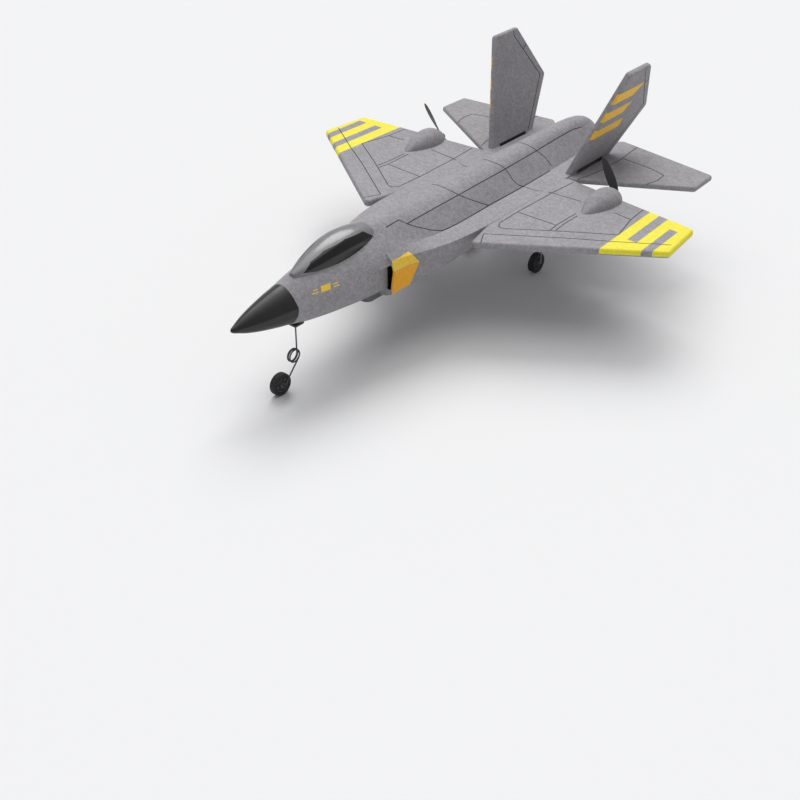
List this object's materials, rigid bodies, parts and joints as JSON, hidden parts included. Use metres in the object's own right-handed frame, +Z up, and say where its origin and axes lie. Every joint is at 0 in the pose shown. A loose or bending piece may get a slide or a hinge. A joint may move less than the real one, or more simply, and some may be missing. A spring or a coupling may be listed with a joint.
{
  "type": "radio controlled jet plane",
  "caption": "Foam radio controlled jet with twin canted fins, two pusher propellers, wire undercarriage and a belly control box.",
  "frame": {"origin": "on the ground under the middle of the aircraft, which stands on its three wheels", "axes": "+Y towards the tail, +X towards the left wing tip, +Z up"},
  "size_m": [0.2996, 0.374, 0.1394],
  "materials": {
    "foam": "speckled moulded bead foam",
    "cone_black": "satin",
    "canopy_grey": "glossy grey",
    "window_black": "glossy smoked black",
    "carbon": "carbon rod",
    "plastic_dark": "moulded",
    "plastic_box": "fine textured moulding",
    "plastic_white": "moulded",
    "steel": "bright",
    "wire_red": "insulated pair",
    "wire_grey": "insulated",
    "cell_silver": "foil wrapped",
    "board_green": "solder mask",
    "chip_black": "moulded",
    "lamp_red": "clear tinted",
    "tyre": "matte foam rubber",
    "hub_grey": "moulded"
  },
  "bodies": {
    "airframe": {"antenna_wire": "wire_grey", "battery_leads": "wire_red", "battery_pack": "cell_silver", "battery_plug": "plastic_white", "battery_socket": "plastic_white", "board_chips": "chip_black", "box_screws": "steel", "canopy_shell": "canopy_grey", "canopy_window_left": "window_black", "canopy_window_right": "window_black", "charge_port": "steel", "control_box": "plastic_box", "control_box_lid": "plastic_box", "fin_left": "foam", "fin_right": "foam", "fuselage_lower": "foam", "fuselage_upper": "foam", "main_gear_block_left": "plastic_dark", "main_gear_block_right": "plastic_dark", "main_gear_wire_left": "steel", "main_gear_wire_right": "steel", "main_wheel_retainer_left": "plastic_dark", "main_wheel_retainer_right": "plastic_dark", "motor_can_left": "steel", "motor_can_right": "steel", "motor_cap_left": "plastic_white", "motor_cap_right": "plastic_white", "motor_leads_left": "wire_red", "motor_leads_right": "wire_red", "motor_seat_left": "plastic_dark", "motor_seat_right": "plastic_dark", "nacelle_left": "foam", "nacelle_right": "foam", "nose_cone": "cone_black", "nose_gear_block": "plastic_dark", "nose_gear_coil": "steel", "nose_gear_strut": "steel", "power_switch_body": "steel", "receiver_board": "board_green", "status_light": "lamp_red", "tailplane_left": "foam", "tailplane_right": "foam", "wing_left": "foam", "wing_right": "foam", "wing_spar": "carbon"},
    "propeller_left": {"propeller_left": "plastic_dark", "motor_shaft_left": "steel"},
    "propeller_right": {"propeller_right": "plastic_dark", "motor_shaft_right": "steel"},
    "main_wheel_left": {"main_tyre_left": "tyre", "main_hub_left": "hub_grey"},
    "main_wheel_right": {"main_tyre_right": "tyre", "main_hub_right": "hub_grey"},
    "nose_leg": {"nose_gear_wire": "steel", "nose_wheel_retainer": "plastic_dark"},
    "nose_wheel": {"nose_tyre": "tyre", "nose_hub": "hub_grey"},
    "power_switch": {"power_switch_knob": "plastic_dark"},
    "battery_hatch": {"battery_hatch": "plastic_box"}
  },
  "joints": [
    {"name": "propeller_left_spin", "type": "hinge", "parent": "airframe", "child": "propeller_left", "pos_m": [0.078, 0.10425, 0.0661], "axis": [0, 1, 0], "continuous": true},
    {"name": "propeller_right_spin", "type": "hinge", "parent": "airframe", "child": "propeller_right", "pos_m": [-0.078, 0.10425, 0.0661], "axis": [0, 1, 0], "continuous": true},
    {"name": "main_wheel_left_spin", "type": "hinge", "parent": "airframe", "child": "main_wheel_left", "pos_m": [0.031, 0.08, 0.0075], "axis": [1, 0, 0], "continuous": true},
    {"name": "main_wheel_right_spin", "type": "hinge", "parent": "airframe", "child": "main_wheel_right", "pos_m": [-0.031, 0.08, 0.0075], "axis": [1, 0, 0], "continuous": true},
    {"name": "nose_leg_flex", "type": "hinge", "parent": "airframe", "child": "nose_leg", "pos_m": [0.0059, -0.142, 0.025], "axis": [1, 0, 0], "range_deg": [-12, 8], "stiffness_Nm_per_rad": 0.14},
    {"name": "nose_wheel_spin", "type": "hinge", "parent": "nose_leg", "child": "nose_wheel", "pos_m": [0.002, -0.152, 0.0075], "axis": [1, 0, 0], "continuous": true},
    {"name": "power_switch_slide", "type": "slide", "parent": "airframe", "child": "power_switch", "axis": [0, 1, 0], "range_m": [0, 0.002]},
    {"name": "battery_hatch_slide", "type": "slide", "parent": "airframe", "child": "battery_hatch", "axis": [0, 1, 0], "range_m": [0, 0.044]}
  ]
}
